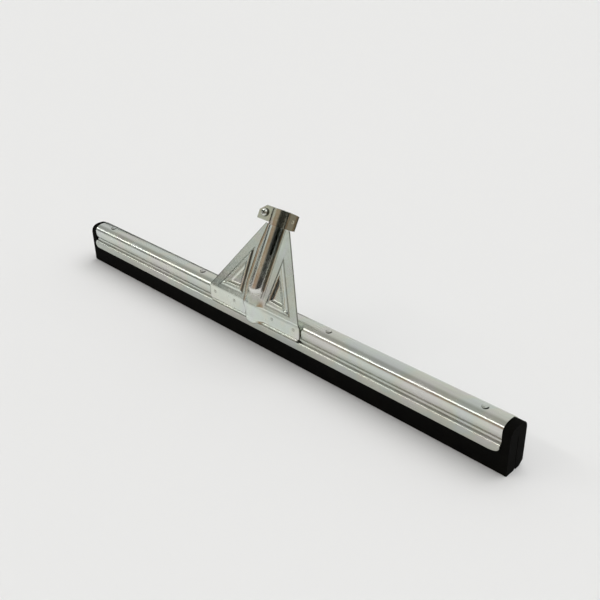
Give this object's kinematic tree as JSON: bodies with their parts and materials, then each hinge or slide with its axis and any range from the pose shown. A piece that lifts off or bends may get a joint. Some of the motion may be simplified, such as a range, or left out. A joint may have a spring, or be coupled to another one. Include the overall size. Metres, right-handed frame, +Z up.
{
  "type": "floor squeegee head",
  "caption": "Floor squeegee head: a double-lipped foam rubber blade gripped in a plated steel channel, with a leaning two-piece pressed pole socket closed by a screw clamp.",
  "frame": {"origin": "middle of the front lip's flat sole, where it rests on the floor", "axes": "+X along the blade, +Z up, -Y towards the front, where the open side of the socket's slot and the clamp screw's head face"},
  "size_m": [0.75, 0.0752, 0.1728],
  "materials": {
    "zinc": "bright zinc plating with a faint yellow-green tint",
    "dark_zinc": "bright zinc plating",
    "foam_rubber": "matt closed-cell foam rubber",
    "steel": "plain rolled steel"
  },
  "bodies": {
    "head": {"steel_channel": "zinc", "rubber_blade": "foam_rubber", "core_strip": "steel", "rivet_1": "zinc", "rivet_2": "zinc", "rivet_3": "zinc", "rivet_4": "zinc", "socket_front_half": "zinc", "socket_back_half": "zinc", "clamp_band": "dark_zinc", "clamp_screw": "zinc"},
    "washer": {"clamp_washer": "zinc"},
    "nut": {"clamp_nut": "zinc"}
  },
  "joints": [
    {"name": "washer_slide", "type": "slide", "parent": "head", "child": "washer", "axis": [0, 0.8776, -0.4795], "range_m": [0, 0.0016]},
    {"name": "nut_spin", "type": "hinge", "parent": "washer", "child": "nut", "pos_m": [-0.026, 0.04704, 0.15824], "axis": [0, 0.8776, -0.4795], "range_deg": [0, 720]}
  ],
  "couplings": [
    {"joint": "nut_spin", "follows": "washer_slide", "rad_per_m": 7853.9}
  ]
}
